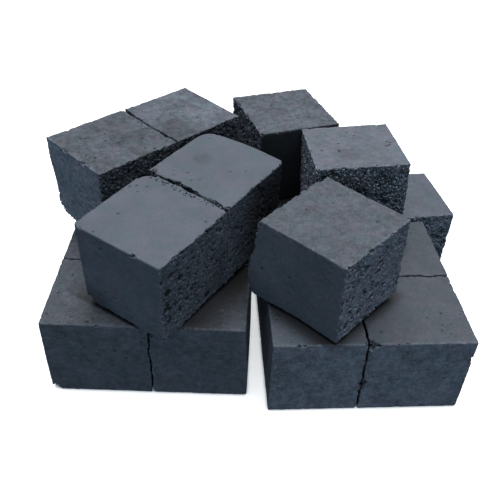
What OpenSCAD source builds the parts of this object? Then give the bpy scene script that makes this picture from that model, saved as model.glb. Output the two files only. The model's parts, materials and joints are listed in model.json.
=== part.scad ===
// A two-layer heap of pressed charcoal briquette cubes.
// Three scored blocks of four cubes and one single cube stand on the ground.
// Two scored pairs and three single cubes lie on top of them.
// Each cube is a sub-part of its own, because every score line is cracked through.

/* [Briquette] */
// Side of one cube seen from above, which is also the spacing of the score lines
cube_side = 25; // [22:0.5:26]
// Height of one cube
cube_height = 24; // [20:0.5:26]
// Width of the worn strip along each edge, measured on either face
edge_wear = 0.6; // [0.2:0.1:1.5]
// Width of the crack along a score line
crack = 0.2; // [0.1:0.05:0.4]

/* [Heap] */
// Air under the lowest corner of a piece that lies on another
rest_gap = 0.1; // [0.05:0.05:0.3]
// Colour of the pressed faces
charcoal_grey = "#5d666f"; // ["#5d666f":blue grey, "#3c444b":dark grey]
// Colour of the cubes whose faces are coarse and crumbly
coarse_grey = "#4a4f56"; // ["#4a4f56":mid grey, "#2f3338":near black]

/* [Hidden] */

// A piece is [columns, rows, layer, x, y, heading, lean about X, lean about Y].
// Layer 0 stands on the ground and layer 1 lies on top. x and y are the middle of its underside.
left_block       = [2, 2, 0, -29.5, 27.0,  1,  0.0,  0.0];
right_block      = [2, 2, 0,  25.0, 25.0,  5,  0.0,  0.0];
rear_block       = [2, 2, 0, -12.0, 78.5, -1,  0.0,  0.0];
centre_pair      = [2, 1, 1, -20.0, 24.5, 58,  3.5,  0.0];
rear_pair        = [2, 1, 1, -35.5, 58.0, 47,  1.0,  1.0];
turned_cube      = [1, 1, 1,  16.5, 16.5, 48,  1.5, -2.0];
back_cube        = [1, 1, 1,   4.5, 73.0, 22,  0.5,  0.0];
upper_right_cube = [1, 1, 1,  24.0, 49.0,  7, -2.5, -3.5];
lower_right_cube = [1, 1, 0,  43.5, 66.0, 11,  0.0,  0.0];

pieces = [
    left_block, right_block, rear_block, centre_pair, rear_pair,
    turned_cube, back_cube, upper_right_cube, lower_right_cube
];

function columns(piece) = piece[0];
function rows(piece) = piece[1];
function layer(piece) = piece[2];
function middle(piece) = [piece[3], piece[4]];
function heading(piece) = piece[5];
function lean_x(piece) = piece[6];
function lean_y(piece) = piece[7];

// Corners of a piece's underside about its middle, turned to its heading
function underside(piece) = [
    for (u = [-1, 1], v = [-1, 1])
        let (
            along = u * columns(piece) * cube_side / 2,
            across = v * rows(piece) * cube_side / 2
        )
        [
            along * cos(heading(piece)) - across * sin(heading(piece)),
            along * sin(heading(piece)) + across * cos(heading(piece))
        ]
];

// How far the lowest corner of a leaning piece hangs below the middle of its underside
function hang(piece) = max([
    for (corner = underside(piece))
        corner.x * sin(lean_y(piece)) - corner.y * sin(lean_x(piece)) * cos(lean_y(piece))
]);

function underside_height(piece) =
    layer(piece) * (cube_height + rest_gap + hang(piece));

// The heap's middle on the ground, which is the origin of the finished part
corners = [for (piece = pieces) for (corner = underside(piece)) middle(piece) + corner];
corner_xs = [for (corner = corners) corner.x];
corner_ys = [for (corner = corners) corner.y];
heap_middle = [min(corner_xs) + max(corner_xs), min(corner_ys) + max(corner_ys)] / 2;

// A square bar along X whose four sides cut the worn strips on a body of these two widths
module wear_bar(length, width_1, width_2) {
    bar = (width_1 + width_2 - 2 * edge_wear) / sqrt(2);
    rotate([45, 0, 0])
        cube([length, bar, bar], center = true);
}

// One briquette cube with its underside on the ground, all twelve edges worn
module briquette(side) {
    size = [side, side, cube_height];
    translate([0, 0, cube_height / 2])
        intersection() {
            cube(size, center = true);
            wear_bar(2 * size.x, size.y, size.z);
            rotate([0, 0, 90])
                wear_bar(2 * size.y, size.x, size.z);
            rotate([0, 90, 0])
                wear_bar(2 * size.z, size.x, size.y);
        }
}

// The cube of a piece in this column and row, counted from 0 at its near left corner
module cube_of(piece, column = 0, row = 0) {
    side = columns(piece) > 1 ? cube_side - crack : cube_side;
    place = middle(piece) - heap_middle;
    shift = [
        (column - (columns(piece) - 1) / 2) * cube_side,
        (row - (rows(piece) - 1) / 2) * cube_side,
        0
    ];
    translate([place.x, place.y, underside_height(piece)])
        rotate([lean_x(piece), lean_y(piece), 0])
            rotate([0, 0, heading(piece)])
                translate(shift)
                    briquette(side);
}

module left_block_front_left() { color(charcoal_grey) cube_of(left_block, 0, 0); }
module left_block_front_right() { color(charcoal_grey) cube_of(left_block, 1, 0); }
module left_block_rear_left() { color(charcoal_grey) cube_of(left_block, 0, 1); }
module left_block_rear_right() { color(charcoal_grey) cube_of(left_block, 1, 1); }

module right_block_front_left() { color(charcoal_grey) cube_of(right_block, 0, 0); }
module right_block_front_right() { color(charcoal_grey) cube_of(right_block, 1, 0); }
module right_block_rear_left() { color(charcoal_grey) cube_of(right_block, 0, 1); }
module right_block_rear_right() { color(charcoal_grey) cube_of(right_block, 1, 1); }

module rear_block_front_left() { color(charcoal_grey) cube_of(rear_block, 0, 0); }
module rear_block_front_right() { color(charcoal_grey) cube_of(rear_block, 1, 0); }
module rear_block_rear_left() { color(charcoal_grey) cube_of(rear_block, 0, 1); }
module rear_block_rear_right() { color(charcoal_grey) cube_of(rear_block, 1, 1); }

module centre_pair_near() { color(charcoal_grey) cube_of(centre_pair, 0); }
module centre_pair_far() { color(charcoal_grey) cube_of(centre_pair, 1); }

module rear_pair_near() { color(charcoal_grey) cube_of(rear_pair, 0); }
module rear_pair_far() { color(charcoal_grey) cube_of(rear_pair, 1); }

module turned_cube() { color(coarse_grey) cube_of(turned_cube); }
module back_cube() { color(coarse_grey) cube_of(back_cube); }
module upper_right_cube() { color(coarse_grey) cube_of(upper_right_cube); }
module lower_right_cube() { color(coarse_grey) cube_of(lower_right_cube); }

left_block_front_left();
left_block_front_right();
left_block_rear_left();
left_block_rear_right();
right_block_front_left();
right_block_front_right();
right_block_rear_left();
right_block_rear_right();
rear_block_front_left();
rear_block_front_right();
rear_block_rear_left();
rear_block_rear_right();
centre_pair_near();
centre_pair_far();
rear_pair_near();
rear_pair_far();
turned_cube();
back_cube();
upper_right_cube();
lower_right_cube();
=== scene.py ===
import itertools
import json
import math

import bmesh
import bpy
import numpy as np
from mathutils import Matrix, Vector


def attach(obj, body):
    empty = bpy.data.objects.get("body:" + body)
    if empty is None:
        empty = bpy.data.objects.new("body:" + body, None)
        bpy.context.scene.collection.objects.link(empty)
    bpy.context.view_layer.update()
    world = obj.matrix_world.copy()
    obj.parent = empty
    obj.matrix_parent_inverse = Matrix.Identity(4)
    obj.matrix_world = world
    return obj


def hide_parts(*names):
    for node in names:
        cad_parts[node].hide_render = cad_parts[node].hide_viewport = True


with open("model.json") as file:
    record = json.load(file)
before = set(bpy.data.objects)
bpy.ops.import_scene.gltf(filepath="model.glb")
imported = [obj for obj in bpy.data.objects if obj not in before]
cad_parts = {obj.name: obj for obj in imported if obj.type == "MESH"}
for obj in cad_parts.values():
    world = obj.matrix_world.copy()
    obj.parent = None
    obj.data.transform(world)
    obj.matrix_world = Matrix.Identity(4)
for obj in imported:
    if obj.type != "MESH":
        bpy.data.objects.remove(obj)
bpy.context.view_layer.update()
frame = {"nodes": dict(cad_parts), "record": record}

MM = 0.001

# ---------------------------------------------------------------- noise, on numpy arrays of points

AXIS_FACTORS = (73856093, 19349663, 83492791)
SEED_FACTOR = 2654435761
HASH_STEPS = ((15, 2246822519), (13, 3266489917))  # a shift in bits and a factor
LAST_SHIFT = 16
WORD = 0xFFFFFFFF
LOW_BITS = 0xFFFFFF
LATTICE_START = 4096  # keeps every lattice number positive
NOISE_TILT = {"X": 0.7, "Y": 0.5, "Z": 0.9}  # radians
NOISE_GAIN = 1.6  # brings gradient noise to about -1 to 1
FARTHEST = 9.0  # cells, farther than any centre


def lattice_random(cell, seed):
    """A number from 0 to 1 for each whole-numbered cell, the same on every run."""
    c = (cell + LATTICE_START).astype(np.uint64)
    h = np.full(len(c), seed * SEED_FACTOR & WORD, np.uint64)
    for axis, factor in enumerate(AXIS_FACTORS):
        h ^= c[:, axis] * np.uint64(factor)
    h &= np.uint64(WORD)
    for shift, factor in HASH_STEPS:
        h = ((h ^ (h >> np.uint64(shift))) * np.uint64(factor)) & np.uint64(WORD)
    return ((h ^ (h >> np.uint64(LAST_SHIFT))) & np.uint64(LOW_BITS)) / float(LOW_BITS + 1)


def tilted(points):
    """The points turned off their cube's axes, so that no noise lines up with an edge."""
    turn = Matrix.Identity(3)
    for axis, angle in NOISE_TILT.items():
        turn = turn @ Matrix.Rotation(angle, 3, axis)
    return points @ np.array(turn)


def noise(points, size, seed):
    """Gradient noise from about -1 to 1 whose bumps are about size across."""
    q = tilted(points) / size
    low = np.floor(q)
    f = q - low
    ease = f * f * f * (f * (f * 6 - 15) + 10)
    total = np.zeros(len(q))
    for corner in itertools.product((0, 1), repeat=3):
        cell = low + corner
        away = f - corner
        slope = sum(
            (2 * lattice_random(cell, seed + axis) - 1) * away[:, axis]
            for axis in range(3)
        )
        weight = np.prod(np.where(corner, ease, 1 - ease), axis=1)
        total += weight * slope
    return NOISE_GAIN * total


def noise_vectors(points, size, seeds):
    """Noise along x, y and z, from one seed each."""
    return np.stack([noise(points, size, seed) for seed in seeds], axis=1)


def cells(points, size, seed):
    """Distances in cells to the nearest and the second nearest centre, and the nearest's own number."""
    q = tilted(points) / size
    low = np.floor(q)
    first = np.full(len(q), FARTHEST)
    second = np.full(len(q), FARTHEST)
    own = np.zeros(len(q))
    for step in itertools.product((-1, 0, 1), repeat=3):
        cell = low + step
        centre = cell + np.stack([lattice_random(cell, seed + axis) for axis in range(3)], axis=1)
        away = np.linalg.norm(q - centre, axis=1)
        nearer = away < first
        second = np.where(nearer, first, np.minimum(second, away))
        own = np.where(nearer, lattice_random(cell, seed + 3), own)
        first = np.where(nearer, away, first)
    return first, second, own


def smoothstep(low, high, x):
    t = np.clip((x - low) / (high - low), 0, 1)
    return t * t * (3 - 2 * t)


def dome(distance, radius):
    """1 above the middle of a ball, down to 0 at its rim."""
    return np.sqrt(np.clip(1 - (distance / radius) ** 2, 0, 1))


def around(points, spot, radius, full=0):
    """1 at a spot and out to a full share of a radius round it, down to 0 at that radius."""
    return smoothstep(1, full, np.linalg.norm(points - spot, axis=1) / radius)


# ---------------------------------------------------------------- what the faces are like

# Depths in mm. wave is broad unevenness, grain is fine bumps, crumb is grains with gaps between
# them, pore is open holes between grains, pit is a rare dent, and edge is the wear of an edge.
# coarse goes from 0 for a face that a mould pressed to 1 for a broken one.
RELIEF = {
    "pressed": dict(wave=0.10, grain=0.01, crumb=0.00, pore=0.00, pit=0.20, edge=0.06, coarse=0.0),
    "pitted": dict(wave=0.14, grain=0.04, crumb=0.02, pore=0.08, pit=0.35, edge=0.12, coarse=0.1),
    "fine": dict(wave=0.10, grain=0.04, crumb=0.03, pore=0.03, pit=0.20, edge=0.10, coarse=0.3),
    "sandy": dict(wave=0.12, grain=0.08, crumb=0.14, pore=0.12, pit=0.20, edge=0.18, coarse=0.35),
    "pored": dict(wave=0.16, grain=0.10, crumb=0.45, pore=0.80, pit=0.00, edge=0.55, coarse=0.52),
    "coarse": dict(wave=0.14, grain=0.10, crumb=0.75, pore=0.50, pit=0.00, edge=0.60, coarse=1.0),
}
KINDS = ("wave", "grain", "crumb", "pore", "pit", "edge", "coarse")

# What shows on each face that broke along a score line
SEAM_FINISH, SEAM_TONE, SEAM_MOTTLE = "coarse", 0.9, 0.6

FACES = ("+x", "-x", "+y", "-y", "+z", "-z")
FACE_NORMALS = np.array([(1, 0, 0), (-1, 0, 0), (0, 1, 0), (0, -1, 0), (0, 0, 1), (0, 0, -1)], float)
TOP, UNDERSIDE = FACES.index("+z"), FACES.index("-z")


def per_face(left, front, right, top, hidden):
    """One value for each face: -x, -y, +x and the top, and one for both the back and the underside."""
    return dict(zip(FACES, (right, left, hidden, front, top, hidden)))


FINISH = {
    "left_block": per_face("fine", "fine", "fine", "pressed", "fine"),
    "right_block": per_face("fine", "fine", "fine", "pressed", "fine"),
    "rear_block": per_face("fine", "fine", "fine", "pressed", "fine"),
    "centre_pair": per_face("fine", "pored", "fine", "pressed", "fine"),
    "rear_pair": per_face("sandy", "coarse", "fine", "pitted", "sandy"),
    "turned_cube": per_face("fine", "pored", "sandy", "sandy", "pored"),
    "back_cube": per_face("coarse", "fine", "sandy", "sandy", "fine"),
    "upper_right_cube": per_face("coarse", "coarse", "fine", "pitted", "sandy"),
    "lower_right_cube": per_face("sandy", "coarse", "fine", "pressed", "sandy"),
}
# How light each face is painted, against a freshly pressed face: partly the charcoal's own tone and
# partly painted light and painted shade, with lit faces lighter and shaded faces, such as the lower
# blocks' tops, darker
TONE_LIGHT_AND_SHADE = {
    "left_block": per_face(0.9, 0.82, 0.9, 0.72, 0.9),
    # Painted light: the right block's front is painted lighter
    "right_block": per_face(1.0, 1.38, 1.0, 0.69, 0.9),
    "rear_block": per_face(0.9, 0.9, 0.9, 0.72, 0.9),
    "centre_pair": per_face(1.0, 0.85, 0.9, 0.97, 0.9),
    # Painted light: the rear pair's -x end is painted 2.1 times as light
    "rear_pair": per_face(2.1, 0.7, 0.9, 0.82, 0.9),
    "turned_cube": per_face(0.9, 1.4, 0.9, 0.83, 0.9),
    # Painted shade: the back cube's -y face is painted nearly black
    "back_cube": per_face(1.0, 0.15, 0.9, 0.9, 0.9),
    "upper_right_cube": per_face(2.0, 1.12, 0.9, 1.25, 0.9),
    "lower_right_cube": per_face(0.9, 1.7, 0.9, 1.0, 0.9),
}
# How blotchy each face is
MOTTLE = {
    "left_block": per_face(0.6, 0.75, 0.6, 0.6, 0.6),
    "right_block": per_face(0.6, 0.9, 0.6, 0.3, 0.6),
    "rear_block": per_face(0.6, 0.6, 0.6, 0.6, 0.6),
    "centre_pair": per_face(0.35, 0.6, 0.5, 0.05, 0.6),
    "rear_pair": per_face(0.8, 0.5, 0.6, 1.0, 0.6),
    "turned_cube": per_face(0.3, 0.7, 0.6, 0.75, 0.6),
    "back_cube": per_face(0.6, 0.5, 0.6, 1.0, 0.6),
    "upper_right_cube": per_face(0.6, 0.6, 0.6, 0.5, 0.6),
    "lower_right_cube": per_face(0.5, 0.6, 0.5, 0.35, 0.6),
}
# How far from blue-grey towards brown-grey each piece is, from 0 to 1
WARMTH = {
    "left_block": 0.25,
    "right_block": 0.3,
    "rear_block": 0.2,
    "centre_pair": 0.0,
    "rear_pair": 0.35,
    "turned_cube": 0.45,
    "back_cube": 0.5,
    "upper_right_cube": 0.8,
    "lower_right_cube": 0.15,
}
# Darker and lighter patches, some of them stains at scuffs and the others painted shade and painted
# light: (face, place on the cube from -1 to 1, radius in mm, factor on the tone)
STAINS_AND_SHADE = {
    # Painted shade: the first patch darkens the far end of the centre pair's -y side nearly to black;
    # the second is a stain at a scuff
    "centre_pair_far": [("-y", (1, -1, 0), 32, 0.1), ("+z", (0.0, 0.4, 1), 4, 0.75)],
    # Painted shade: both patches darken the near cube low down, on its -y side and at the foot of its -x
    # end
    "centre_pair_near": [("-y", (1, -1, -0.6), 14, 0.6), ("-x", (-1, 0.8, -1), 9, 0.5)],
    "upper_right_cube": [("+z", (-0.1, -0.35, 1), 6, 0.78)],
    "rear_pair_near": [("+z", (0.5, -0.3, 1), 9, 0.85)],
    "rear_pair_far": [("+z", (-0.6, -0.5, 1), 10, 0.68), ("+z", (0.3, 0, 1), 25, 1.4)],
    # Painted shade on the block's top near its right back corner, between the cubes that lie there
    "left_block_front_right": [("+z", (0.8, 1, 1), 17, 0.1)],
    # Painted light on the block's top at its front left corner
    "right_block_front_left": [("+z", (-0.8, -1, 1), 13, 1.5)],
    # Painted shade on the block's top near its front, among the upper cubes
    "rear_block_front_right": [("+z", (0.4, -0.5, 1), 7, 0.3)],
}
STAIN_AND_SHADE_FULL = 0.2  # share of a patch's radius inside which it is at full strength
# Painted shade: blocks are painted dark under each cube that lies on them, and beside it, as contact
# shadow: so far in mm off its x faces and off its y faces
CONTACT_SHADE_REACHES = {
    "centre_pair_near": (1.0, 10.0),
    "centre_pair_far": (1.0, 10.0),
    "rear_pair_near": (4.0, 4.0),
    "rear_pair_far": (4.0, 4.0),
    "turned_cube": (5.0, 3.5),
    "back_cube": (4.0, 4.0),
    "upper_right_cube": (4.0, 4.0),
}
CONTACT_SHADE = 0.8  # how much darker the painted shade makes the charcoal there
# How far a crack strays and gapes, in mm, and which share of that gape its lower part has
CRACKS = {
    "left_block": (0.35, 0.12, 0.6),
    "right_block": (0.45, 0.25, 0.6),
    "rear_block": (0.4, 0.15, 0.6),
    "centre_pair": (0.5, 1.15, 0.1),
    "rear_pair": (0.4, 0.35, 0.3),
}
# How far off the middle a score line across x was pressed, at its front and its back end, in mm
OFF_CENTRE = {
    "left_block": (1.3, 1.3),
    "right_block": (-1.6, -1.6),
    "centre_pair": (0.3, 1.6),
    "rear_pair": (0.7, 0.9),
}
# Upright edges that are worn round: (side of x, side of y, radius in mm)
ROUND_CORNERS = {
    "centre_pair_near": [(1, 1, 3.0), (-1, 1, 0.8)],
    "centre_pair_far": [(-1, 1, 1.5), (1, 1, 3.6), (1, -1, 1.8)],
    "rear_pair_near": [(1, 1, 1.0)],
    "rear_pair_far": [(1, 1, 1.2)],
}
# Chips: (place on the cube from -1 to 1 along x, y and z, radius in mm)
CHIPS = {
    "right_block_front_right": [((-1, -1, 1), 1.7), ((-1, -1, -0.15), 1.1), ((1, -1, 0.5), 0.7)],
    "right_block_front_left": [((1, -1, 1), 0.9), ((1, -1, -0.2), 0.8)],
    "left_block_front_left": [((1, -1, 1), 0.9), ((-1, -1, -1), 1.8)],
    "left_block_front_right": [((-1, -1, 0.8), 1.3)],
    "centre_pair_near": [
        ((-1, -0.4, 1), 0.7), ((1, -1, 1), 0.9), ((-1, 1, -1), 2.2), ((-1, -1, -1), 1.2),
    ],
    "centre_pair_far": [((-1, -1, 1), 1.1), ((-1, 0.3, 1), 0.9), ((-1, 0.9, 1), 1.2)],
    "turned_cube": [
        ((-1, 1, 1), 0.7), ((1, -1, -1), 2.4), ((0.3, -1, -1), 1.4), ((-0.3, -1, -1), 0.9),
    ],
    "rear_pair_near": [((-1, 0.3, 1), 0.7), ((-1, -0.4, 1), 0.8), ((-1, 1, -1), 2.6)],
    "upper_right_cube": [((-1, -1, 1), 1.0), ((-0.4, -1, 1), 0.8)],
    "back_cube": [((-1, -1, 1), 0.9)],
}
# Scuffed spots with small open pores: (place on the cube from -1 to 1, radius in mm)
SCUFFS = {
    "centre_pair_far": [((-0.05, 0.45, 1), 4.0)],
    "upper_right_cube": [((-0.15, -0.3, 1), 5.0), ((-0.75, 0.1, 1), 3.5)],
    "rear_pair_near": [((0.6, -0.4, 1), 5.0), ((-0.8, 0, 1), 3.5), ((0.2, -0.9, 1), 4.0)],
    "rear_pair_far": [((-0.7, -0.5, 1), 7.0)],
    "left_block_front_left": [((-0.6, -0.1, 1), 5.5), ((-0.3, -0.9, 1), 4.0)],
    "right_block_front_right": [((0.55, -0.15, 1), 2.2), ((0.3, 0.4, 1), 1.8)],
    "turned_cube": [((0.5, -0.6, 1), 6.0), ((-0.5, -0.2, 1), 4.5), ((0.3, 0.4, 1), 4.0)],
}
SCUFF_DEPTH = 0.36  # mm
# Swellings: (place on the cube from -1 to 1, radius in mm, and how far out along x and y in mm)
SWELLINGS = {
    "turned_cube": [
        ((-1, 1, 0), 20.0, -1.2, 1.3), ((-1, 1, -0.55), 13.0, -1.1, 1.2),
        ((0.2, 1, 1), 12.0, 0, 0.7), ((1, 1, 1), 18.0, 0.4, 0.5),
    ],
    "centre_pair_near": [
        ((1, 1, 0), 22.0, 0, 1.5), ((-0.6, 1, 0.6), 22.0, 0, 0.7), ((0, -1, 1), 20.0, 0, -0.4),
    ],
    "centre_pair_far": [
        ((-1, 1, 0), 22.0, 0, 1.5), ((1, 0, 1), 16.0, 1.0, 0), ((0.4, 1, 1), 18.0, 0, 0.5),
    ],
    "rear_pair_near": [((-1, 1, -0.5), 15.0, 0.8, -0.4)],
    "left_block_front_right": [((1, 1, 0), 30.0, 1.6, 0), ((1, -1, -1), 30.0, 1.0, 0)],
    "left_block_rear_right": [((1, -1, 0), 30.0, 1.6, 0)],
}


def piece_of(node):
    """The piece that a cube belongs to, which is the cube itself if it is a single one."""
    return next((piece for piece in CRACKS if node.startswith(piece)), node)


def seam_faces(node):
    """The faces of a cube that meet another cube of its piece."""
    words = node.split("_")
    if "pair" in words:
        return ["+x"] if words[-1] == "near" else ["-x"]
    if "block" in words:
        return ["+x" if words[-1] == "left" else "-x", "+y" if words[-2] == "front" else "-y"]
    return []


# ---------------------------------------------------------------- a cube's place, read from its CAD node

SIDE_RISE = 0.5  # a face whose normal rises less than this is a side
HEADING = math.radians(22)  # a cube's x axis is its side that heads nearest to this, from the world's x


def cube_frame(node):
    """The middle, the three axes as rows and the three sizes of a CAD cube, in mm."""
    mesh = frame["nodes"][node].data
    points = np.zeros(len(mesh.vertices) * 3)
    mesh.vertices.foreach_get("co", points)
    points = points.reshape(-1, 3) / MM
    areas = {}
    for polygon in mesh.polygons:
        key = tuple(round(c, 2) for c in polygon.normal)
        areas[key] = areas.get(key, 0) + polygon.area
    largest = sorted(areas, key=areas.get)[-len(FACES):]
    normals = [Vector(key).normalized() for key in largest]
    up = max(normals, key=lambda n: n.z)
    sides = [n for n in normals if abs(n.z) < SIDE_RISE]
    across = max(sides, key=lambda n: math.cos(math.atan2(n.y, n.x) - HEADING))
    axes = np.array([across, up.cross(across), up])
    reach = points @ axes.T
    low, high = reach.min(0), reach.max(0)
    return (low + high) / 2 @ axes, axes, high - low


# ---------------------------------------------------------------- a plain cube with many points

FINE_GRID = 114  # squares along each edge of a cube
BLOCK_GRID = 84  # and of one that is part of a block
EDGE_ROUNDING = 0.3  # mm
BLEND = 1.2  # mm from an edge over which one face turns into the next


def cube_lattice(grid):
    """Places from -1 to 1 on a cube's surface, and the quads between them. Faces share edge points."""
    number, places, quads = {}, [], []
    half = grid / 2

    def point(key):
        if key not in number:
            number[key] = len(places)
            places.append([c / half - 1 for c in key])
        return number[key]

    for axis, end in itertools.product(range(3), (0, grid)):
        u, v = (axis + 1) % 3, (axis + 2) % 3
        for i, j in itertools.product(range(grid), repeat=2):
            ring = []
            for di, dj in ((0, 0), (1, 0), (1, 1), (0, 1)):
                key = [0, 0, 0]
                key[axis], key[u], key[v] = end, i + di, j + dj
                ring.append(point(tuple(key)))
            quads.append(ring if end else ring[::-1])
    return np.array(places), np.array(quads)


LATTICES = {grid: cube_lattice(grid) for grid in (FINE_GRID, BLOCK_GRID)}


def rounded_box(flat, half):
    """Points on a box with lightly rounded edges, and directions away from it, blended at the edges."""
    core = np.clip(flat, EDGE_ROUNDING - half, half - EDGE_ROUNDING)
    out = flat - core
    out /= np.linalg.norm(out, axis=1)[:, None]
    points = core + EDGE_ROUNDING * out
    away = flat - np.clip(flat, BLEND - half, half - BLEND)
    away /= np.linalg.norm(away, axis=1)[:, None]
    return points, away


def round_corners(points, half, corners):
    """Wears upright edges round."""
    for side_x, side_y, radius in corners:
        over = np.stack(
            [side_x * points[:, 0] - (half[0] - radius), side_y * points[:, 1] - (half[1] - radius)],
            axis=1,
        )
        reach = np.linalg.norm(over, axis=1)
        outside = (over > 0).all(1) & (reach > radius)
        pull = radius / reach[outside]
        for axis, side in ((0, side_x), (1, side_y)):
            points[outside, axis] = side * (over[outside, axis] * pull + half[axis] - radius)


# ---------------------------------------------------------------- chips, grains, pores and pits

CHIP_REACH = 1.7  # times a chip's radius, and no part of it lies beyond
CHIP_ROUGHNESS = 0.5  # share of the radius
CHIP_BUMP = 0.9  # times the radius
SMALL_CHIP_BUMP = 0.6  # mm
CHIP_DEPTH = 0.75  # times a ball's
NICKS = 14  # small chips on each cube's edges
NICK_RADII = (0.25, 0.6)  # mm


def chip_depth(points, centre, radius, seed):
    """How deep a rough rounded chip round centre goes at these points."""
    reach = np.linalg.norm(points - centre, axis=1)
    near = reach < radius * CHIP_REACH
    deep = np.zeros(len(points))
    broad = CHIP_ROUGHNESS * noise(points[near], radius * CHIP_BUMP, seed)
    small = CHIP_ROUGHNESS * noise(points[near], SMALL_CHIP_BUMP, seed + 9)
    deep[near] = np.sqrt(np.clip((radius * (1 + broad + small)) ** 2 - reach[near] ** 2, 0, None))
    return CHIP_DEPTH * deep


def edge_nicks(half, seed):
    """Places and radii of small chips along random edges."""
    draw = np.random.default_rng(seed)
    for _ in range(NICKS):
        spot = draw.uniform(-1, 1, 3)
        along = draw.integers(3)
        for axis in range(3):
            if axis != along:
                spot[axis] = np.sign(spot[axis])
        yield spot * half, draw.uniform(*NICK_RADII)


GRAIN_SIZE, GRAIN_RADIUS = 0.95, 0.8  # the size of a cell in mm, and a radius in cells
SMALL_GRAIN_SIZE, SMALL_GRAIN_RADIUS = 0.5, 0.85
GRAIN_GAP = 0.25  # cells over which a grain rises beside its neighbour
# Heights as shares of the depth: the lowest grain's, how much more the proudest has, and a small grain's
GRAIN_HEIGHT, GRAIN_SPREAD, SMALL_GRAIN_HEIGHT = 0.45, 0.4, 0.3


def crumb_field(points, seed):
    """Depth from 0 on top of the proudest grains to 1 between grains, for two sizes of grain."""
    first, second, own = cells(points, GRAIN_SIZE, seed)
    grain = dome(first, GRAIN_RADIUS) * smoothstep(0.0, GRAIN_GAP, second - first)
    small, _, lot = cells(points, SMALL_GRAIN_SIZE, seed + 10)
    fine = dome(small, SMALL_GRAIN_RADIUS)
    height = grain * (GRAIN_HEIGHT + GRAIN_SPREAD * own)
    return np.clip(1 - height - SMALL_GRAIN_HEIGHT * fine * lot, 0, 1)


# Open holes: (size of a cell in mm, radius of a hole's rim and floor in cells, share of cells with one)
HOLES = ((1.6, 0.48, 0.22, 0.4), (3.0, 0.40, 0.25, 0.35))
HOLE_BEND = 0.35  # mm out of round
HOLE_BEND_SIZE = 0.8  # mm


def pore_field(points, seed):
    """1 inside open holes of odd shapes, 0 outside."""
    bent = points + HOLE_BEND * noise_vectors(points, HOLE_BEND_SIZE, (seed + 5, seed + 6, seed + 7))
    inside = np.zeros(len(points))
    for n, (size, rim, floor, share) in enumerate(HOLES):
        distance, _, lot = cells(bent, size, seed + 10 * n)
        inside = np.maximum(inside, smoothstep(rim, floor, distance) * (lot < share))
    return inside


DENT_CELL = 1.5  # mm
DENT_RIM, DENT_FLOOR = 0.34, 0.16  # radii in cells
LONE_DENTS = 0.004  # share of the cells with a dent
CLUSTERED_DENTS = 0.5  # and how many more have one in the middle of a cluster
CLUSTER_SIZE = 8.0  # mm
CLUSTER_FROM, CLUSTER_FULL = 0.2, 0.55  # of the noise that places the clusters


def pit_field(points, seed):
    """1 inside rare small dents, which come in clusters, 0 outside."""
    dent, _, chance = cells(points, DENT_CELL, seed)
    cluster = smoothstep(CLUSTER_FROM, CLUSTER_FULL, noise(points, CLUSTER_SIZE, seed + 5))
    return smoothstep(DENT_RIM, DENT_FLOOR, dent) * (chance < LONE_DENTS + CLUSTERED_DENTS * cluster)


def contact_shade(place):
    """Painted shade: 1 under the cubes that lie on others, down to 0 at their reaches beside them."""
    most = np.zeros(len(place))
    for node, reaches in CONTACT_SHADE_REACHES.items():
        middle, axes, size = cube_frame(node)
        beyond = np.abs((place - middle) @ axes.T) - size / 2
        beside = np.linalg.norm(np.clip(beyond[:, :2], 0, None) / reaches, axis=1)
        most = np.maximum(most, smoothstep(1, 0, beside))
    return most


# ---------------------------------------------------------------- a charcoal cube

# The fields of a cube, each with the number that is added to the cube's seed for it
FIELDS = {"crumb": (crumb_field, 0), "pore": (pore_field, 20), "pit": (pit_field, 40)}
LEAST = 0.005  # mm, the depth up to which a field isn't worked out
# What varies over a cube: its mean, and its noises: (size of the bumps in mm, number that is added to
# the cube's seed, share)
UNEVEN = {
    "wave": (0.5, [(8.0, 60, 0.5)]),
    "grain": (0.5, [(0.9, 70, 0.35)]),
    "patch": (0.8, [(5.0, 90, 0.6), (2.2, 95, 0.3)]),
    "ragged": (0.3, [(2.6, 100, 0.9)]),
    "crumbling": (0.0, [(1.0, 110, 1.0)]),
    "gape": (0.3, [(4.0, 120, 1.0), (1.1, 130, 0.5)]),
}
PATCH_RANGE = (0.25, 1.4)  # patch is kept within it
MOST_RAGGED = 1.6  # the wear of an edge is kept between 0 and this times its depth
# How cracks stray: (size of the bends in mm, seed, share), the same on both sides of every crack
STRAYS = ((6.0, 7, 1.0), (2.2, 8, 0.6))
CHIP_SEED = 200  # added to the cube's seed, as are the next two
CRUMB_SEED = 290
FRAY_SEEDS = (80, 83, 86)
FRAY_SIZE = 1.1  # mm
FRAY = 0.5  # how much the border of two faces wanders
FRAY_FROM, FRAY_FULL = 2.5, 0.8  # mm from an edge
SHARPNESS = 3  # how abruptly one face turns into the next
BROKEN_FROM, BROKEN_FULL = 0.02, 0.2  # mm that a chip is deep where its charcoal looks broken
CHIP_CRUMB = 0.35  # mm, crumb inside a chip
SEAM_REACH = 2.5  # mm from a seam over which its cube follows the crack
RIM_FROM, RIM_FULL = 2.2, 0.6  # mm from an edge
RIM_CALM = 0.8  # share of its relief that a face loses at a crack's rim
EDGE_WIDTH = 0.6  # mm that an edge's wear reaches
SOLE_HEIGHT = 1.2  # mm
SOLE_WEAR = 0.5  # mm off the lowest rim of a cube
BLOCK_SOLE_WEAR = 0.1  # and of one that is part of a block
GAPE_FROM, GAPE_FULL = 4.0, 0.5  # mm below the top
GAPE_SHARPNESS = 4  # how close to the seam a gape keeps
PAINTED_EDGE = 0.8  # mm that an edge's specks reach
PAINTED_HOLLOWS = {"crumb": 1.1, "pore": 1.4, "pit": 3}  # how dark the painted shade of each field's hollows is, for each mm of depth
PAINTED_CHIPS = 0.5  # how dark the painted shade in a chip is


def near_seam(gap):
    """1 on a seam, down to 0 at SEAM_REACH from it."""
    return np.clip(1 - gap / SEAM_REACH, 0, 1) ** 2


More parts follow.
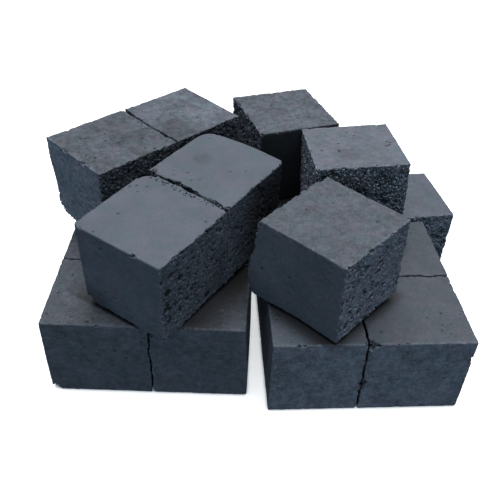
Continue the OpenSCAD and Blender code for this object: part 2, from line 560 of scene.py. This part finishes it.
class Cube:
    """A charcoal cube in place of a CAD cube, with its own faces, edges, cracks and chips."""

    def __init__(self, node, seed):
        self.node = node
        self.seed = seed
        self.piece = piece_of(node)
        self.in_block = "block" in node
        self.seams = seam_faces(node)
        self.middle, self.axes, self.size = cube_frame(node)
        self.half = self.size / 2
        lattice, self.quads = LATTICES[BLOCK_GRID if self.in_block else FINE_GRID]
        self.flat = lattice * self.half
        self.box, self.away = rounded_box(self.flat, self.half)
        self.place = self.box @ self.axes + self.middle
        self.to_edge = np.sort(self.half - np.abs(self.box), axis=1)[:, 1]
        self.weight = self.face_weights()
        self.at_seam = np.zeros(len(self.box))
        for face in self.seams:
            self.at_seam = np.maximum(self.at_seam, near_seam(self.gap(self.box, face)))
        chips = self.chips()
        self.broken = smoothstep(BROKEN_FROM, BROKEN_FULL, chips)
        self.amount = self.relief()
        self.field = {kind: self.where_needed(kind) for kind in FIELDS}
        self.points = self.box - self.away * self.depth(chips)[:, None]
        self.swell()
        self.crack()
        round_corners(self.points, self.half, ROUND_CORNERS.get(node, ()))

    def uneven(self, kind, points):
        """One of the things that vary over a cube."""
        mean, noises = UNEVEN[kind]
        return sum((share * noise(points, size, self.seed + n) for size, n, share in noises), mean)

    def gap(self, points, face):
        """How far in mm points lie inside a face."""
        k = FACES.index(face)
        return self.half[k // 2] - points @ FACE_NORMALS[k]

    def face_weights(self):
        """How much each point belongs to each face, with frayed borders between them."""
        frayed = noise_vectors(self.box, FRAY_SIZE, [self.seed + n for n in FRAY_SEEDS])
        frayed *= FRAY * smoothstep(FRAY_FROM, FRAY_FULL, self.to_edge)[:, None]
        weight = np.clip((self.away + frayed) @ FACE_NORMALS.T, 0, 1) ** SHARPNESS
        return weight / weight.sum(1)[:, None]

    def on_faces(self, table, at_seam):
        """What a table says of each face, with at_seam for the faces that broke at a score line."""
        return {**table[self.piece], **dict.fromkeys(self.seams, at_seam)}

    def blended(self, values):
        """The faces' values at each point."""
        return sum(self.weight[:, k] * values[face] for k, face in enumerate(FACES))

    def chips(self):
        """How deep the chips go."""
        spots = [(np.array(spot) * self.half, radius) for spot, radius in CHIPS.get(self.node, ())]
        spots += edge_nicks(self.half, self.seed)
        depth = np.zeros(len(self.box))
        for n, (centre, radius) in enumerate(spots):
            depth = np.maximum(depth, chip_depth(self.box, centre, radius, self.seed + CHIP_SEED + n))
        return depth

    def relief(self):
        """How much there is of each kind of relief."""
        finish = self.on_faces(FINISH, SEAM_FINISH)
        amount = {
            kind: self.blended({face: RELIEF[finish[face]][kind] for face in FACES})
            for kind in KINDS
        }
        amount["crumb"] = np.maximum(amount["crumb"], CHIP_CRUMB * self.broken)
        amount["coarse"] = np.maximum(amount["coarse"], self.broken)
        for spot, radius in SCUFFS.get(self.node, ()):
            scuffed = SCUFF_DEPTH * around(self.box, np.array(spot) * self.half, radius)
            amount["pore"] = np.maximum(amount["pore"], scuffed)
        # A crack is tight at its rim, however coarse the broken faces are inside it.
        rim = self.at_seam * smoothstep(RIM_FROM, RIM_FULL, self.to_edge)
        for kind in ("crumb", "pore", "wave", "edge"):
            amount[kind] = amount[kind] * (1 - RIM_CALM * rim)
        # A broken face is open in some patches and closer in others.
        patch = np.clip(self.uneven("patch", self.box), *PATCH_RANGE)
        for kind in ("crumb", "pore"):
            amount[kind] = amount[kind] * patch
        return amount

    def where_needed(self, kind):
        """A field where there is any of it, and 0 elsewhere."""
        field, offset = FIELDS[kind]
        values = np.zeros(len(self.box))
        needed = self.amount[kind] > LEAST
        if needed.any():
            values[needed] = field(self.box[needed], self.seed + offset)
        return values

    def depth(self, chips):
        """How far each point lies below the plain box."""
        amount, field = self.amount, self.field
        depth = chips + amount["wave"] * self.uneven("wave", self.box)
        depth += amount["grain"] * self.uneven("grain", self.box)
        depth += sum(amount[kind] * field[kind] for kind in FIELDS)
        ragged = self.uneven("ragged", self.box) + amount["coarse"] * self.uneven("crumbling", self.box)
        near_edge = np.exp(-((self.to_edge / EDGE_WIDTH) ** 2))
        depth += amount["edge"] * near_edge * np.clip(ragged, 0, MOST_RAGGED)
        sole = np.clip(1 - self.gap(self.box, "-z") / SOLE_HEIGHT, 0, 1) ** 2
        sole *= (1 - self.at_seam) * (1 - self.weight[:, UNDERSIDE])
        return depth + (BLOCK_SOLE_WEAR if self.in_block else SOLE_WEAR) * sole

    def swell(self):
        """Pushes the swellings out."""
        for spot, radius, out_x, out_y in SWELLINGS.get(self.node, ()):
            share = around(self.points, np.array(spot) * self.half, radius)
            self.points += np.array([out_x, out_y, 0]) * share[:, None]

    def crack(self):
        """Bends the broken faces, and opens their rims."""
        if not self.seams:
            return
        # Both cubes at a crack read the same noise, so that they stray together and part cleanly. A
        # block's cubes also slide along the cracks across x, so those run straight from front to back.
        stray_by, gape_by, lower_share = CRACKS[self.piece]
        ends = OFF_CENTRE.get(self.piece, (0, 0))
        off_centre = np.interp(self.points[:, 1] / self.half[1], (-1, 1), ends)
        top = self.half[2]
        upper = smoothstep(top - GAPE_FROM, top - GAPE_FULL, self.points[:, 2])
        gape = gape_by * (lower_share + (1 - lower_share) * upper)
        gape *= np.clip(self.uneven("gape", self.place), 0, 1)
        level = self.place
        if self.in_block:
            level = level - (level @ self.axes[1])[:, None] * self.axes[1]
        for face in self.seams:
            normal = FACE_NORMALS[FACES.index(face)]
            gap = self.gap(self.flat, face)
            follow = near_seam(gap)
            path = level if face in ("+x", "-x") else self.place
            stray = sum(share * noise(path, size, seed) for size, seed, share in STRAYS)
            move = stray_by * stray * follow * normal.sum() - gape * follow ** GAPE_SHARPNESS
            self.points += normal * move[:, None]
            if face in ("+x", "-x"):
                self.points[:, 0] += off_centre * (1 - gap / self.size[0])

    def tone_and_shade(self):
        """How light the charcoal is painted: its own tone, stains, and painted shade and painted light
        on some faces and patches.
        """
        tone_and_shade = self.blended(self.on_faces(TONE_LIGHT_AND_SHADE, SEAM_TONE))
        for face, spot, radius, factor in STAINS_AND_SHADE.get(self.node, ()):
            share = around(self.flat, np.array(spot) * self.half, radius, STAIN_AND_SHADE_FULL)
            tone_and_shade *= 1 + (factor - 1) * self.weight[:, FACES.index(face)] * share
        if self.in_block:
            # Painted shade under and beside the cubes that lie on a block, as contact shadow
            tone_and_shade *= 1 - CONTACT_SHADE * self.weight[:, TOP] * contact_shade(self.place)
        return tone_and_shade

    def painted(self):
        """What the material reads from the mesh."""
        amount, field = self.amount, self.field
        hollow = sum(PAINTED_HOLLOWS[kind] * amount[kind] * field[kind] for kind in FIELDS)
        return dict(
            coarse=amount["coarse"],
            # Painted shade in the hollows and chips
            cavity_shade=np.clip(hollow + PAINTED_CHIPS * self.broken, 0, 1),
            edge=np.exp(-((self.to_edge / PAINTED_EDGE) ** 2)),
            tone_and_shade=self.tone_and_shade(),
            mottle=self.blended(self.on_faces(MOTTLE, SEAM_MOTTLE)),
            warmth=np.full(len(self.box), WARMTH[self.piece]),
        )


def paint(mesh, painted):
    """Stores what the material reads, one value for each point."""
    for name, value in painted.items():
        values = np.broadcast_to(value, len(mesh.vertices)).astype(np.float32)
        mesh.attributes.new(name, "FLOAT", "POINT").data.foreach_set("value", values)


def linked(mesh):
    """A new object for a mesh, in the scene."""
    piece = bpy.data.objects.new(mesh.name, mesh)
    bpy.context.scene.collection.objects.link(piece)
    return piece


def detailed_cube(node, seed):
    """A charcoal cube that stands for a CAD cube."""
    cube = Cube(node, seed)
    mesh = bpy.data.meshes.new(node + "_charcoal")
    mesh.vertices.add(len(cube.points))
    mesh.vertices.foreach_set("co", ((cube.points @ cube.axes + cube.middle) * MM).ravel())
    mesh.loops.add(cube.quads.size)
    mesh.loops.foreach_set("vertex_index", cube.quads.ravel())
    mesh.polygons.add(len(cube.quads))
    mesh.polygons.foreach_set("loop_start", np.arange(0, cube.quads.size, 4))
    mesh.polygons.foreach_set("use_smooth", np.ones(len(cube.quads), bool))
    mesh.update(calc_edges=True)
    paint(mesh, cube.painted())
    return linked(mesh)


# ---------------------------------------------------------------- loose crumbs

# How many, lowest and highest place along x, the same along y, from -1 to 1
CRUMBS = {
    "left_block_front_left": (12, -0.95, -0.4, -0.95, 0.8),
    "left_block_front_right": (4, 0.5, 0.95, -0.95, -0.3),
    "right_block_front_left": (4, -0.95, -0.4, -0.95, -0.5),
    "right_block_front_right": (6, -0.1, 0.95, -0.95, -0.1),
    "centre_pair_near": (44, 0.9, 0.99, -0.9, 0.9),
    "rear_pair_near": (10, 0.9, 1.02, -0.9, 0.9),
}
CRUMB_RADII = (0.2, 0.5)  # mm
CRUMB_STRETCH = (0.7, 1.2)  # along each axis
CRUMB_ROUGHNESS = 0.35  # share of the radius
CRUMB_APART = 5  # mm between the places where two crumbs read their noise
SUNK = 0.45  # times its radius, how far a crumb's middle is below the face
CRUMB_PAINT = dict(coarse=0.8, cavity_shade=0.1, edge=0.0, tone_and_shade=0.9, mottle=0.5, warmth=0.3)


def crumbs(node, seed):
    """Loose grains lying on top of a cube, as one piece."""
    middle, axes, size = cube_frame(node)
    half = size / 2
    count, low_x, high_x, low_y, high_y = CRUMBS[node]
    draw = np.random.default_rng(seed)
    lumps = bmesh.new()
    for n in range(count):
        radius = draw.uniform(*CRUMB_RADII)
        made = bmesh.ops.create_icosphere(lumps, subdivisions=2, radius=radius)["verts"]
        points = np.array([v.co for v in made])
        points *= draw.uniform(*CRUMB_STRETCH, 3)
        points *= (1 + CRUMB_ROUGHNESS * noise(points + CRUMB_APART * n, radius, seed + n))[:, None]
        spot = np.array([draw.uniform(low_x, high_x), draw.uniform(low_y, high_y), 1.0]) * half
        spot[2] -= radius * SUNK
        for vertex, point in zip(made, (points + spot) @ axes + middle):
            vertex.co = point * MM
    mesh = bpy.data.meshes.new(node + "_crumbs")
    lumps.to_mesh(mesh)
    lumps.free()
    paint(mesh, CRUMB_PAINT)
    return linked(mesh)


# ---------------------------------------------------------------- materials


class Tree:
    """A short way to add nodes and join them."""

    def __init__(self, owner):
        owner.use_nodes = True
        self.tree = owner.node_tree
        self.tree.nodes.clear()

    def set_input(self, node, name, value):
        if isinstance(value, bpy.types.NodeSocket):
            self.tree.links.new(value, node.inputs[name])
        else:
            node.inputs[name].default_value = value

    def node(self, kind, inputs=(), **settings):
        made = self.tree.nodes.new(kind)
        for name, value in settings.items():
            setattr(made, name, value)
        for name, value in dict(inputs).items():
            self.set_input(made, name, value)
        return made

    def math(self, operation, a, b, clamp=False):
        return self.node("ShaderNodeMath", {0: a, 1: b}, operation=operation, use_clamp=clamp).outputs[0]

    def times(self, a, b, clamp=False):
        return self.math("MULTIPLY", a, b, clamp)

    def plus(self, a, b, clamp=False):
        return self.math("ADD", a, b, clamp)

    def mix(self, factor, a, b, blend="MIX"):
        """Colour a with colour b over it. A Mix node's colours are its inputs 6 and 7 and output 2."""
        inputs = {0: factor, 6: a, 7: b}
        return self.node("ShaderNodeMix", inputs, data_type="RGBA", blend_type=blend).outputs[2]

    def attribute(self, name):
        return self.node("ShaderNodeAttribute", attribute_name=name).outputs["Fac"]

    def noise(self, where, size_mm, detail, rough):
        made = self.node(
            "ShaderNodeTexNoise",
            {"Vector": where, "Scale": 1 / (size_mm * MM), "Detail": detail, "Roughness": rough},
        )
        return made.outputs["Fac"]

    def ramp(self, value, low, high, to_low=0.0, to_high=1.0):
        made = self.node(
            "ShaderNodeMapRange",
            {"Value": value, "From Min": low, "From Max": high, "To Min": to_low, "To Max": to_high},
            interpolation_type="SMOOTHSTEP",
        )
        return made.outputs["Result"]

    def finish(self, shader, output="ShaderNodeOutputMaterial"):
        self.node(output, {"Surface": shader.outputs[0]})


BLUE_GREY = (0.84, 1.0, 1.24)
TO_BROWN = (0.15, -0.02, -0.12)


def grey(value, warmth=0.0):
    """Blue-grey, or brown-grey at a warmth of 1, with this much green."""
    return (*(value * (cool + warmth * shift) for cool, shift in zip(BLUE_GREY, TO_BROWN)), 1.0)


COOL = (grey(0.088), grey(0.104))  # darker and lighter patches of pressed charcoal
WARM = (grey(0.086, 0.8), grey(0.104, 1.0))
DUSTY = grey(0.072, 0.5)
CRUMBLY = (grey(0.060, 0.2), grey(0.125, 0.2))
# Painted shade: the nearly black colour of the gaps between grains, of hollows and of chips
GAP_SHADE = grey(0.008)
# Light specks: partly ash and dust, partly painted glints on the grains
SPECK_AND_GLINT = grey(0.3, 0.3)
TEAL, PURPLE = (0.92, 1.02, 1.0, 1.0), (1.07, 0.98, 1.03, 1.0)

# Noise textures: size in mm, detail, roughness, and the noise values where each begins and is full
TEXTURES = {
    "broad": (8.0, 3, 0.5, 0.3, 0.7),
    "patchy": (2.6, 3, 0.6, 0.35, 0.7),
    "fine": (0.8, 3, 0.65, 0.3, 0.7),
    "dots": (0.36, 2, 0.6, 0.49, 0.40),
    "specks": (0.4, 2, 0.5, 0.55, 0.63),
    "clouds": (5.0, 2, 0.5, 0.3, 0.7),
    "blots": (1.7, 4, 0.7, 0.3, 0.7),
    "grains": (0.45, 2, 0.6, 0.3, 0.7),
    "streaks": (1.6, 3, 0.7, 0.3, 0.7),
    "drift": (4.0, 3, 0.65, 0.35, 0.65),
}
# How much darker and lighter some of them make a blotchy face
BLOTCHES = {
    "clouds": (-0.16, 0.16),
    "blots": (-0.34, 0.28),
    "grains": (-0.2, 0.2),
    "streaks": (-0.14, 0.14),
}
# Where along coarseness something begins and is full, or is full and ends
COARSE_DOTS, COARSE_SPECKS, COARSE_STREAKS = (0.4, 0.9), (0.2, 1.0), (0.3, 0.6)
DARK_CAVITY = (0.2, 0.7)  # the same along how dark a hollow's painted shade is
DUST, MOTTLE_DUST = 0.1, 0.5  # on every face, and what mottle adds
GAP_STRENGTH = 0.92  # how fully the gaps between grains take the painted shade's colour
EDGE_SPECKS, MOTTLE_SPECKS = 0.12, 0.04  # what edges and mottle add to the light specks
STREAK_SQUASH = (1, 1, 2.5)  # level streaks are this much lower than they are long
MATT, MATTER = 0.55, 0.68  # roughness of fresh and of dusty charcoal
COARSE_ROUGHNESS = 0.2  # what coarseness adds
TINY_BUMP, SMALL_BUMP = (0.22, 3, 0.7), (0.6, 3, 0.65)  # size in mm, detail and roughness
TINY_SHARE = 0.5  # height of the tiny bumps, times the small ones'
BUMP_STRENGTH = (0.22, 1.0)  # of a pressed and of a coarse face
BUMP_DEPTH = 0.15  # mm
SPECULAR = 0.35


def texture(t, where, name, span=(0.0, 1.0)):
    """One of the textures, from the first to the second value of span."""
    size, detail, rough, low, high = TEXTURES[name]
    return t.ramp(t.noise(where, size, detail, rough), low, high, *span)


def charcoal_colour(t, where, painted, fine):
    """Blue-grey or brown-grey where a mould pressed it, darker and crumbly where it is coarse."""
    broad = texture(t, where, "broad")
    warm = t.times(painted["warmth"], texture(t, where, "patchy"), True)
    pressed = t.mix(warm, t.mix(broad, *COOL), t.mix(broad, *WARM))
    dust = t.times(fine, t.plus(DUST, t.times(painted["mottle"], MOTTLE_DUST)))
    return t.mix(painted["coarse"], t.mix(dust, pressed, DUSTY), t.mix(fine, *CRUMBLY))


def speckled(t, where, painted, colour, speckle):
    """Adds painted shade in the gaps between grains, in hollows and in chips, and light specks on the
    grains, partly ash and dust and partly painted glints.
    """
    dots = t.times(texture(t, where, "dots"), t.ramp(painted["coarse"], *COARSE_DOTS))
    gaps = t.math("MAXIMUM", t.ramp(painted["cavity_shade"], *DARK_CAVITY), dots)
    colour = t.mix(t.times(gaps, GAP_STRENGTH), colour, GAP_SHADE)
    shown = t.times(t.ramp(painted["coarse"], *COARSE_SPECKS), speckle)
    shown = t.plus(shown, t.times(painted["edge"], EDGE_SPECKS))
    shown = t.plus(shown, t.times(painted["mottle"], MOTTLE_SPECKS))
    return t.mix(t.times(texture(t, where, "specks"), shown, True), colour, SPECK_AND_GLINT)


def blotched(t, where, painted, colour):
    """Adds blotches, level streaks on the pressed faces' sides, and drifts towards teal and purple."""
    flat = t.node("ShaderNodeMapping", {"Vector": where, "Scale": STREAK_SQUASH}).outputs[0]
    spaces = {"clouds": where, "blots": where, "grains": where, "streaks": flat}
    clouds, blots, grains, streaks = (texture(t, spaces[name], name, BLOTCHES[name]) for name in spaces)
    streaks = t.times(streaks, t.ramp(painted["coarse"], *COARSE_STREAKS, 1.0, 0.0))
    uneven = t.plus(t.plus(clouds, blots), t.plus(grains, streaks))
    # The tone attribute holds painted light and painted shade as well as the charcoal's own tone
    shade = t.times(painted["tone_and_shade"], t.plus(1.0, t.times(painted["mottle"], uneven)))
    shade = t.node("ShaderNodeCombineColor", {"Red": shade, "Green": shade, "Blue": shade}).outputs[0]
    tint = t.mix(texture(t, where, "drift"), TEAL, PURPLE)
    return t.mix(1.0, t.mix(1.0, colour, shade, "MULTIPLY"), tint, "MULTIPLY")


def charcoal_bump(t, where, painted):
    """Grain too fine for the mesh."""
    height = t.plus(t.times(t.noise(where, *TINY_BUMP), TINY_SHARE), t.noise(where, *SMALL_BUMP))
    strength = t.ramp(painted["coarse"], 0, 1, *BUMP_STRENGTH)
    inputs = {"Height": height, "Strength": strength, "Distance": BUMP_DEPTH * MM}
    return t.node("ShaderNodeBump", inputs).outputs[0]


def charcoal(name, speckle):
    """Charcoal, by what is painted on the meshes, with so much speckle on its coarse faces."""
    material = bpy.data.materials.new(name)
    t = Tree(material)
    where = t.node("ShaderNodeTexCoord").outputs["Object"]
    painted = {a: t.attribute(a) for a in ("coarse", "cavity_shade", "edge", "tone_and_shade", "mottle", "warmth")}
    fine = texture(t, where, "fine")
    colour = charcoal_colour(t, where, painted, fine)
    colour = speckled(t, where, painted, colour, speckle)
    colour = blotched(t, where, painted, colour)
    rough = t.plus(t.ramp(fine, 0, 1, MATT, MATTER), t.times(painted["coarse"], COARSE_ROUGHNESS), True)
    inputs = {
        "Base Color": colour,
        "Roughness": rough,
        "Normal": charcoal_bump(t, where, painted),
        "Specular IOR Level": SPECULAR,
    }
    t.finish(t.node("ShaderNodeBsdfPrincipled", inputs))
    return material


FLOOR_COLOUR = (0.95, 0.96, 0.97, 1)
FLOOR_ROUGHNESS = 0.9
# Painted light: the strength of the floor's glow
FLOOR_GLOW = 0.6
GLOW_CLEARANCE = 1.5  # mm of free space round a point of the floor, for it to glow
GLOW_FROM, GLOW_FULL = 0.3, 0.8  # share of that space
GLOW_SAMPLES = 8
FLOOR_REACH = 0.7


def pale_floor(name):
    """A pale floor that glows a little, as painted light that lifts its shadows, except at the bottom of
    narrow cracks, which stay dark as painted shade.
    """
    material = bpy.data.materials.new(name)
    t = Tree(material)
    clearance = {"Distance": GLOW_CLEARANCE * MM}
    free = t.node("ShaderNodeAmbientOcclusion", clearance, samples=GLOW_SAMPLES).outputs["AO"]
    inputs = {
        "Base Color": FLOOR_COLOUR,
        "Roughness": FLOOR_ROUGHNESS,
        "Emission Color": FLOOR_COLOUR,
        "Emission Strength": t.ramp(free, GLOW_FROM, GLOW_FULL, 0, FLOOR_GLOW),
    }
    t.finish(t.node("ShaderNodeBsdfPrincipled", inputs))
    return material


# ---------------------------------------------------------------- camera, light and floor

# Places and lengths are in metres here, except where a comment says mm
LOOK_AT = Vector((-0.0023, -0.0113, 0.020))
CAMERA_DISTANCE = 0.1819
CAMERA_ELEVATION = math.radians(38.4)
CAMERA_ROLL = math.radians(2.8)
CAMERA_LENS = 45.3  # mm
CAMERA_SENSOR = 36  # mm
CAMERA_CLIP = 0.005
LIT_POINT = Vector((0, 0, 0.02))
WHITE = (1.0, 1.0, 1.0)
SKY_BLUE = (0.62, 0.81, 0.98)
# Lights: name, position, size, power in watts and colour
LIGHTS = (
    ("key", (0.05, 0.14, 0.85), 1.2, 13.5, WHITE),
    ("front_fill", (0.0, -0.95, 0.26), 0.8, 3.1, SKY_BLUE),
)
FILL_COLOUR = (0.62, 0.82, 1.0, 1)
FILL_STRENGTH = 0.11


def add_camera():
    data = bpy.data.cameras.new("camera")
    data.lens = CAMERA_LENS
    data.sensor_width = CAMERA_SENSOR
    data.clip_start = CAMERA_CLIP
    camera = bpy.data.objects.new("camera", data)
    bpy.context.scene.collection.objects.link(camera)
    back = Vector((0, -math.cos(CAMERA_ELEVATION), math.sin(CAMERA_ELEVATION)))
    tip = Matrix.Rotation(math.pi / 2 - CAMERA_ELEVATION, 4, "X")
    roll = Matrix.Rotation(CAMERA_ROLL, 4, "Z")
    camera.matrix_world = Matrix.Translation(LOOK_AT + back * CAMERA_DISTANCE) @ (tip @ roll)
    bpy.context.scene.camera = camera


def add_area_light(name, position, size, power, colour):
    data = bpy.data.lights.new(name, "AREA")
    data.shape = "DISK"
    data.size = size
    data.energy = power
    data.color = colour
    light = bpy.data.objects.new(name, data)
    bpy.context.scene.collection.objects.link(light)
    light.location = position
    light.rotation_euler = (LIT_POINT - Vector(position)).to_track_quat("-Z", "Y").to_euler()


def add_world():
    """Soft bluish light from all round, and white behind the heap."""
    world = bpy.data.worlds.new("studio")
    bpy.context.scene.world = world
    t = Tree(world)
    fill = t.node("ShaderNodeBackground", {"Color": FILL_COLOUR, "Strength": FILL_STRENGTH})
    seen = t.node("ShaderNodeBackground", {"Color": (*WHITE, 1), "Strength": 1.0})
    camera_ray = t.node("ShaderNodeLightPath").outputs["Is Camera Ray"]
    mixed = t.node("ShaderNodeMixShader", {0: camera_ray, 1: fill.outputs[0], 2: seen.outputs[0]})
    t.finish(mixed, "ShaderNodeOutputWorld")


def add_floor():
    mesh = bpy.data.meshes.new("floor")
    corners = [(x * FLOOR_REACH, y * FLOOR_REACH, 0) for x, y in ((-1, -1), (1, -1), (1, 1), (-1, 1))]
    mesh.from_pydata(corners, [], [(0, 1, 2, 3)])
    mesh.materials.append(pale_floor("pale_floor"))
    floor = linked(mesh)
    floor.visible_diffuse = False
    floor.visible_glossy = False


add_camera()
add_world()
add_floor()
for light in LIGHTS:
    add_area_light(*light)
bpy.context.scene.view_settings.view_transform = "Standard"

# ---------------------------------------------------------------- the heap

FIRST_SEED, SEED_STEP = 1000, 300
SPECKLE = {"pressed_charcoal": 0.5, "coarse_charcoal": 0.9}
MATERIALS = {slot: charcoal(slot, speckle) for slot, speckle in SPECKLE.items()}
slot_of = {row["node"]: row["material_slot"] for row in frame["record"]["subparts"]}

for body, nodes in frame["record"]["behaviour"]["bodies"].items():
    for node in nodes:
        seed = FIRST_SEED + SEED_STEP * sorted(frame["nodes"]).index(node)
        cube = detailed_cube(node, seed)
        cube.data.materials.append(MATERIALS[slot_of[node]])
        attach(cube, body)
        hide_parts(node)
        if node in CRUMBS:
            loose = crumbs(node, seed + CRUMB_SEED)
            loose.data.materials.append(MATERIALS["coarse_charcoal"])
            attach(loose, body)
